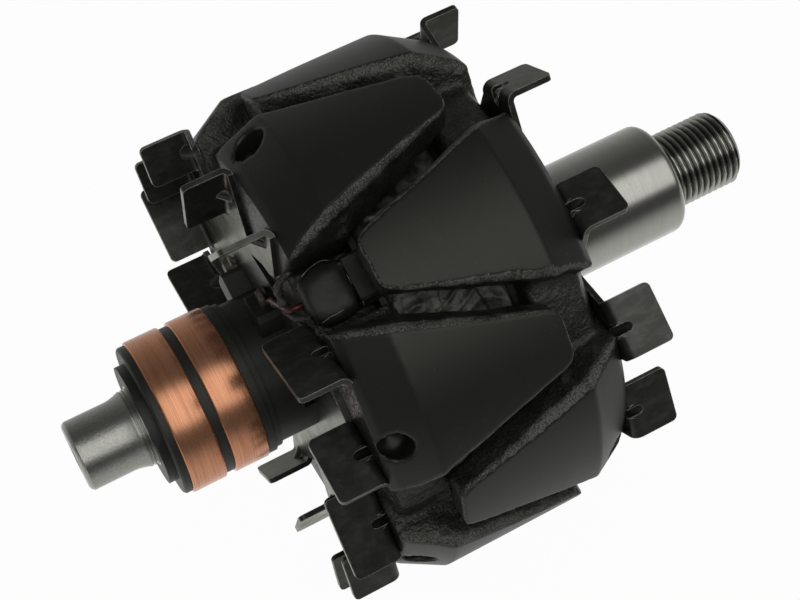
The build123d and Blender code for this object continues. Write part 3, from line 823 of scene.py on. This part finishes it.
# Shaft: ground journals, a cut thread and fine shoulder grooves
shaftTurning = {
    "stubFace": -73.5, "stubRadius": 7.5, "stubEnd": -64.0, "shoulder": -60.5, "shoulderRadius": 8.3,
    "stubRounding": [(0.0, 1.0), (0.25, 0.45), (0.8, 0.0)],  # station from the face, radius lost
    "flareSteps": 8, "flarePower": 1.8, "grooves": [-60.2, -59.5], "grooveDepth": 0.22,
    "grooveHalf": 0.26, "grooveFloor": 0.3, "hubNose": -59.0, "hubSeatRadius": 8.8, "poleFace": 25.6,
    "poleSeatRadius": 13.25, "journalRadius": 12.5, "journalEnd": 64.2, "journalRounding": 2.0,
    "roundingSteps": 8, "reliefRadius": 7.5, "reliefLength": 1.2, "reliefStep": 0.2,
    "threadRadius": 8.5, "threadEnd": 81.3, "threadChamfer": 1.4, "pitch": 1.5, "threadDepth": 0.92,
    "crestShare": 0.16, "flankShare": 0.70, "threadStep": 0.08, "centreMouth": 3.2, "centreBore": 2.0,
    "centreDepth": 6.0, "segments": 176,
}


def grooveCut(turning, middle, radius):
    half = turning["grooveHalf"]
    flat = half * turning["grooveFloor"]
    deep = radius - turning["grooveDepth"]
    return [(middle - half, radius), (middle - flat, deep), (middle + flat, deep), (middle + half, radius)]


def threadTop(turning, station):
    fromEnd = turning["threadEnd"] - station
    return turning["threadRadius"] - max(0.0, turning["threadChamfer"] - fromEnd)


def shaftProfile(turning):
    face = turning["stubFace"]
    stub = turning["stubRadius"]
    mouth = turning["centreMouth"]
    bore = turning["centreBore"]
    depth = turning["centreDepth"]
    points = [(face + depth + bore, 0), (face + depth, bore), (face + mouth - bore, bore), (face, mouth)]
    points += [(face + station, stub - lost) for station, lost in turning["stubRounding"]]
    start = turning["stubEnd"]
    shoulder = turning["shoulderRadius"]
    for i in range(turning["flareSteps"] + 1):
        share = i / turning["flareSteps"]
        radius = stub + (shoulder - stub) * share ** turning["flarePower"]
        points.append((start + share * (turning["shoulder"] - start), radius))
    for middle in turning["grooves"]:
        points += grooveCut(turning, middle, shoulder)
    nose = turning["hubNose"]
    poleFace = turning["poleFace"]
    journal = turning["journalRadius"]
    points += [(nose, shoulder), (nose, turning["hubSeatRadius"])]
    points += [(-poleFace, turning["hubSeatRadius"]), (-poleFace, turning["poleSeatRadius"])]
    points += [(poleFace, turning["poleSeatRadius"]), (poleFace, journal)]
    end = turning["journalEnd"]
    rounding = turning["journalRounding"]
    for i in range(turning["roundingSteps"] + 1):
        turn = math.radians(90 - 90 * i / turning["roundingSteps"])
        station = end - rounding + rounding * math.cos(turn)
        points.append((station, journal - rounding + rounding * math.sin(turn)))
    start = end + turning["reliefLength"]
    finish = turning["threadEnd"]
    relief = turning["reliefRadius"]
    points += [(end, relief), (start - turning["reliefStep"], relief)]
    steps = int((finish - start) / turning["threadStep"])
    for i in range(steps + 1):
        station = start + (finish - start) * i / steps
        points.append((station, threadTop(turning, station)))
    points += [(finish, mouth), (finish - mouth + bore, bore), (finish - depth, bore)]
    points.append((finish - depth - bore, 0))
    return points


def shaftRadius(station, radius, angle):
    turning = shaftTurning
    start = turning["journalEnd"] + turning["reliefLength"]
    if station < start or radius <= turning["centreMouth"]:
        return radius
    phase = (station / turning["pitch"] - angle / 360) % 1
    flank = min(1.0, max(0.0, (abs(2 * phase - 1) - turning["crestShare"]) / turning["flankShare"]))
    return min(radius, turning["threadRadius"] - turning["threadDepth"] * flank)


roundPiece("shaftTurned", "shaft", finishes["shaft"], shaftProfile(shaftTurning),
           shaftTurning["segments"], shaftRadius)
print("stage: shaft turned")


# Slip rings: each turned to its solid's own size, with finer facets
ringTurning = {"edge": 0.35, "edgeMiddle": (0.4, 0.3), "segments": 256}


def meshPoints(data, kind="co"):
    flat = np.empty(len(data.vertices) * 3)
    data.vertices.foreach_get(kind, flat)
    return flat.reshape(-1, 3)


def turnedRing(name, node):
    points = meshPoints(nodes[node].data) / millimetre
    start = points[:, 0].min() - poleMiddle / millimetre
    end = points[:, 0].max() - poleMiddle / millimetre
    radii = np.hypot(points[:, 1], points[:, 2])
    bore = radii.min()
    outside = radii.max()
    edge = ringTurning["edge"]
    inward, lost = (edge * share for share in ringTurning["edgeMiddle"])
    profile = [(start, bore), (start, outside - edge), (start + inward, outside - lost)]
    profile += [(start + edge, outside), (end - edge, outside), (end - inward, outside - lost)]
    profile += [(end, outside - edge), (end, bore)]
    roundPiece(name, node, finishes[node], profile, ringTurning["segments"],
               lambda station, radius, angle: radius, closed=True)


turnedRing("ringOuterTurned", "slip_ring_outer")
turnedRing("ringInnerTurned", "slip_ring_inner")
print("stage: slip rings turned")


# Tape: wound round the coil in overlapping turns, then crumpled
tapeWrap = {
    "halfWidth": 11.0, "inner": 38.25, "outer": 39.75, "edgeFrom": 0.93, "edgeLength": 0.07,
    "edgeDrop": 0.7, "wrapWidth": 7.5, "wrapStep": 0.38, "lapShare": 0.06, "slant": 2.2,
    "slantWaves": 7, "slantPhase": 0.6, "drift": 2.4, "driftScale": 2.1, "driftSeed": 0.7,
    "foldHeight": 0.42, "foldLevel": 0.3, "foldScale": (0.20, 10.5), "ridgeScale": 0.72,
    "ridgeShare": 0.8, "creaseScale": 1.9, "creaseSlope": 2.4, "creaseShift": 0.11,
    "creaseShare": 0.2, "columns": 900, "rows": 84,
}


def tapeRadius(station, radius, angle):
    wrap = tapeWrap
    if radius < wrap["outer"]:
        return radius
    turn = math.radians(angle)
    across = math.cos(turn)
    up = math.sin(turn)
    reach = wrap["driftScale"]
    drift = noise.noise(Vector((across * reach, up * reach, wrap["driftSeed"]))) * wrap["drift"]
    slant = wrap["slant"] * math.sin(turn * wrap["slantWaves"] + wrap["slantPhase"])
    lap = (station + drift + slant) / wrap["wrapWidth"] % 1
    step = wrap["wrapStep"] * (min(lap / wrap["lapShare"], 1.0) - lap)
    along, around = wrap["foldScale"]
    spot = Vector((station * along, across * around, up * around))
    ridge = 1 - 2 * abs(noise.noise(spot * wrap["ridgeScale"] + Vector((drift, 0, 0))))
    shift = Vector((station * wrap["creaseShift"], 0, 0))
    crease = 1 - wrap["creaseSlope"] * abs(noise.noise(spot * wrap["creaseScale"] + shift))
    fold = wrap["ridgeShare"] * max(ridge, 0) ** 2 + wrap["creaseShare"] * max(crease, 0) ** 3
    return radius + step + wrap["foldHeight"] * (fold - wrap["foldLevel"])


def tapeProfile(wrap):
    points = [(-wrap["halfWidth"], wrap["inner"])]
    for i in range(wrap["rows"] + 1):
        share = 2 * i / wrap["rows"] - 1
        edge = max(0.0, abs(share) - wrap["edgeFrom"]) / wrap["edgeLength"]
        points.append((share * wrap["halfWidth"], wrap["outer"] - edge * edge * wrap["edgeDrop"]))
    points.append((wrap["halfWidth"], wrap["inner"]))
    return points


roundPiece("coilTapeWrap", "coil_tape", finishes["coil_tape"], tapeProfile(tapeWrap),
           tapeWrap["columns"], tapeRadius, closed=True)
print("stage: tape wrapped")


# Resin lumps over the lead outlets: soft blocks, in station, across and radius from the slot's middle
outletLumps = {
    "angles": [149.0, 328.0],
    "blocks": [  # middle, half sizes, squareness, lumpiness
        ((-20.6, 0.0, 39.4), (5.0, 5.5, 3.75), 3.4, 0.28),
        ((-13.6, 0.3, 38.6), (2.9, 4.7, 3.0), 4.0, 0.16),
        ((-16.7, -3.0, 41.2), (1.5, 1.3, 1.5), 2.4, 0.15),
    ],
    "cuts": 22, "bulgeScale": 1.3, "fineScale": 3.1, "fineShare": 0.22, "sharp": 80,
}


def slotPoint(station, across, radius, angle):
    turn = math.radians(angle)
    return Vector((
        poleMiddle + station * millimetre,
        (radius * math.cos(turn) - across * math.sin(turn)) * millimetre,
        (radius * math.sin(turn) + across * math.cos(turn)) * millimetre,
    ))


def softBlock(mesh, middle, halves, power, lumpiness, angle, values):
    made = bmesh.ops.create_cube(mesh, size=2)
    edges = list({edge for vertex in made["verts"] for edge in vertex.link_edges})
    bmesh.ops.subdivide_edges(mesh, edges=edges, cuts=values["cuts"], use_grid_fill=True)
    for vertex in mesh.verts:
        if vertex.tag:
            continue
        vertex.tag = True
        flat = vertex.co.copy()
        flat /= sum(abs(value) ** power for value in flat) ** (1 / power)
        bulge = noise.noise(flat * values["bulgeScale"] + Vector((angle, middle[0], 0)))
        bulge += values["fineShare"] * noise.noise(flat * values["fineScale"])
        size = 1 + 2 * lumpiness * bulge / max(halves)
        place = [centre + part * half * size for centre, part, half in zip(middle, flat, halves)]
        vertex.co = slotPoint(*place, angle)


for index, angle in enumerate(outletLumps["angles"]):
    mesh = bmesh.new()
    for block in outletLumps["blocks"]:
        softBlock(mesh, *block, angle, outletLumps)
    finishPiece(mesh, "outletLump" + str(index + 1), None, finishes["coil_bobbin"],
                outletLumps["sharp"])


# Cords: the start lead's sleeve and its tie by station, radius and angle, and the pale wires that
# paint highlight lines on the outlet lump, by station and place across the slot
leadRuns = {
    "startSleeve": [
        (-28.2, 27.6, 138.0), (-28.0, 30.6, 141.4), (-27.9, 33.4, 145.4), (-27.9, 35.6, 149.0),
        (-27.0, 38.6, 152.0), (-25.4, 40.0, 152.8),
    ],
    "startTie": [
        (-25.0, 39.9, 139.2), (-27.4, 39.2, 139.7), (-28.0, 36.8, 140.3), (-28.0, 34.4, 142.0),
        (-28.0, 33.6, 145.2), (-27.9, 35.0, 148.8), (-27.4, 37.4, 151.4),
    ],
    "wires": [
        [(-24.2, -4.3), (-23.0, -5.0), (-21.0, -5.5), (-19.2, -5.7), (-18.2, -5.0)],
        [(-16.4, -1.2), (-16.5, 0.2), (-16.1, 2.0), (-15.8, 3.6), (-16.2, 5.3)],
        [(-24.6, 5.0), (-23.4, 4.6), (-21.2, 4.6), (-19.6, 4.4), (-18.5, 4.0)],
    ],
    "wireHeight": 42.5,
    "sleeve": {"width": 1.5, "thick": 1.1, "sides": 14, "swell": 0.5},
    "wire": {"width": 0.11, "thick": 0.11, "sides": 8, "swell": 0.0},
    "order": 3, "resolution": 10, "swellScale": 900, "sharp": 60,
}


def cordPath(name, points):
    line = bpy.data.curves.new(name + "Line", "CURVE")
    line.dimensions = "3D"
    spline = line.splines.new("NURBS")
    spline.points.add(len(points) - 1)
    for place, point in zip(spline.points, points):
        place.co = (*point, 1)
    spline.order_u = leadRuns["order"]
    spline.use_endpoint_u = True
    spline.resolution_u = leadRuns["resolution"]
    holder = bpy.data.objects.new(name + "Line", line)
    path = [vertex.co.copy() for vertex in bpy.data.meshes.new_from_object(holder).vertices]
    bpy.data.objects.remove(holder)
    return path


def cord(name, node, material, points, shape):
    path = cordPath(name, points)
    mesh = bmesh.new()
    rings = []
    across = Vector((1, 0, 0))
    for i, spot in enumerate(path):
        ahead = (path[min(i + 1, len(path) - 1)] - path[max(i - 1, 0)]).normalized()
        across = (across - ahead * across.dot(ahead)).normalized()
        side = ahead.cross(across)
        swell = 1 + shape["swell"] * noise.noise(spot * leadRuns["swellScale"])
        ring = []
        for j in range(shape["sides"]):
            turn = 2 * math.pi * j / shape["sides"]
            offset = across * math.cos(turn) * shape["width"] + side * math.sin(turn) * shape["thick"]
            ring.append(mesh.verts.new(spot + offset * swell * millimetre / 2))
        rings.append(ring)
    joinRings(mesh, rings)
    mesh.faces.new(rings[0])
    mesh.faces.new(rings[-1])
    finishPiece(mesh, name, node, material, leadRuns["sharp"])


for name, node in (("startSleeve", "lead_sleeve_start"), ("startTie", None)):
    points = [shaftPoint(*place) for place in leadRuns[name]]
    cord(name, node, finishes["lead_sleeve"], points, leadRuns["sleeve"])
for index, run in enumerate(leadRuns["wires"]):
    points = [slotPoint(*place, leadRuns["wireHeight"], outletLumps["angles"][0]) for place in run]
    cord("highlightWire" + str(index + 1), None, finishes["highlightWire"], points, leadRuns["wire"])
print("stage: leads and lumps made")


# Claw poles: the solid is softened like a forging, roughened, then turned back to its outside size
forging = {
    "weld": 0.001, "voxel": 0.62, "softening": 7, "softBeyond": (0.3, 1.6), "stock": 0.34,
    "stockLost": 0.6, "lumps": 0.34, "lumpSize": 7.5, "lumpFiner": 2.3, "lumpDepth": (0.0, 0.8),
    "grain": 0.13, "grainSize": 1.7, "grainFiner": 2.1, "grainDepth": (0.2, 1.5), "fineShare": 0.5,
    "roughBeyond": (0.2, 1.2), "smoothBore": 37.0, "roughFrom": 40.0, "claw": 53.0,
    "cornerStation": 16.3, "cornerSlope": 29.5, "faceStation": 25.6, "endBevel": 1.3,
    "turnedDepth": (-0.12, 0.02), "drilledReach": (-0.1, 0.4), "farReach": 99.0, "drilledFrom": 30,
    # Drillings: angle, station, diameter
    "slipHoles": [(187.7, -22.2, 6.3), (108.7, -20.3, 7.0), (234.0, -21.8, 6.3)],
    "driveHoles": [(224.0, 22.4, 6.0)],
}


def turnedRadius(station):
    slope = math.tan(math.radians(forging["cornerSlope"]))
    radius = forging["claw"] - np.maximum(0, station - forging["cornerStation"]) * slope
    bevel = forging["faceStation"] - forging["endBevel"]
    rim = forging["claw"] - (bevel - forging["cornerStation"]) * slope
    return np.where(station > bevel, np.minimum(radius, rim - (station - bevel)), radius)


def evaluated(thing):
    graph = bpy.context.evaluated_depsgraph_get()
    return bpy.data.meshes.new_from_object(thing.evaluated_get(graph))


def holeReach(points, holes):
    # Distance of each point from the nearest drilling's wall
    reach = np.full(len(points), forging["farReach"])
    for angle, station, diameter in holes:
        turn = math.radians(angle)
        spoke = np.array([0, math.cos(turn), math.sin(turn)])
        away = points - np.array([poleMiddle / millimetre + station, 0, 0])
        height = away @ spoke
        beside = np.linalg.norm(away - height[:, None] * spoke, axis=1)
        nearer = np.minimum(reach, beside - diameter / 2)
        reach = np.where(height > forging["drilledFrom"], nearer, reach)
    return reach


def smooth(values, low, high):
    share = np.clip((values - low) / (high - low), 0, 1)
    return share * share * (3 - 2 * share)


def lumpy(points, size, finer):
    values = np.empty(len(points))
    for index, point in enumerate(points):
        spot = Vector(point) / size
        values[index] = noise.noise(spot) + forging["fineShare"] * noise.noise(spot * finer)
    return values


def softenedBlank(name, node, holes):
    mesh = bmesh.new()
    mesh.from_mesh(nodes[node].data)
    bmesh.ops.remove_doubles(mesh, verts=mesh.verts, dist=forging["weld"] * millimetre)
    data = bpy.data.meshes.new(name + "Blank")
    mesh.to_mesh(data)
    mesh.free()
    blank = bpy.data.objects.new(name + "Blank", data)
    bpy.context.collection.objects.link(blank)
    voxels = blank.modifiers.new("voxels", "REMESH")
    voxels.mode = "VOXEL"
    voxels.voxel_size = forging["voxel"] * millimetre
    blank.data = evaluated(blank)
    blank.modifiers.clear()
    reach = holeReach(meshPoints(blank.data) / millimetre, holes)
    group = blank.vertex_groups.new(name="soft")
    for index, weight in enumerate(smooth(reach, *forging["softBeyond"])):
        group.add((index,), float(weight), "REPLACE")
    soften = blank.modifiers.new("soften", "SMOOTH")
    soften.iterations = forging["softening"]
    soften.vertex_group = "soft"
    data = evaluated(blank)
    bpy.data.objects.remove(blank)
    return data


def roughened(points, normals, side, holes):
    # Adds stock everywhere beyond the bore, with lumps and grain below the turned surface
    lump = lumpy(points, forging["lumpSize"], forging["lumpFiner"])
    grain = lumpy(points, forging["grainSize"], forging["grainFiner"])
    station = (points[:, 0] - poleMiddle / millimetre) * side
    radius = np.hypot(points[:, 1], points[:, 2])
    depth = turnedRadius(station) - radius
    low = smooth(depth, *forging["grainDepth"])
    rough = smooth(radius, forging["smoothBore"], forging["roughFrom"])
    rough = rough * smooth(holeReach(points, holes), *forging["roughBeyond"])
    push = forging["stock"] * (1 - low * forging["stockLost"])
    push += rough * (forging["lumps"] * lump * smooth(depth, *forging["lumpDepth"]))
    push += rough * forging["grain"] * grain * low
    push *= np.where(radius > forging["smoothBore"], 1, 0)
    return points + normals * push[:, None]


def turnedBack(points, side, holes):
    # Trims to the end face and the turned radius; also marks what the tool or a drill has cut
    radius = np.hypot(points[:, 1], points[:, 2])
    station = (points[:, 0] - poleMiddle / millimetre) * side
    over = station > forging["faceStation"]
    points[:, 0] = np.where(over, poleMiddle / millimetre + side * forging["faceStation"], points[:, 0])
    limit = turnedRadius(np.minimum(station, forging["faceStation"]))
    drilled = 1 - smooth(holeReach(points, holes), *forging["drilledReach"])
    turned = np.maximum(smooth(radius - limit, *forging["turnedDepth"]), drilled)
    points[:, 1:] *= np.minimum(1, limit / radius)[:, None]
    return turned


def forgedPole(name, node, side, holes):
    # Side is the end of the shaft that the pole's flat face looks to
    data = softenedBlank(name, node, holes)
    points = roughened(meshPoints(data) / millimetre, meshPoints(data, "normal"), side, holes)
    turned = turnedBack(points, side, holes)
    data.vertices.foreach_set("co", (points * millimetre).ravel())
    mark = data.attributes.new("turned", "FLOAT", "POINT")
    mark.data.foreach_set("value", turned)
    data.shade_smooth()
    data.update()
    data.name = name
    addPiece(data, name, node, finishes["claw_pole"])


forgedPole("slipEndPole", "claw_pole_slip_end", -1, forging["slipHoles"])
forgedPole("driveEndPole", "claw_pole_drive_end", 1, forging["driveHoles"])
print("stage: claw poles forged and turned")
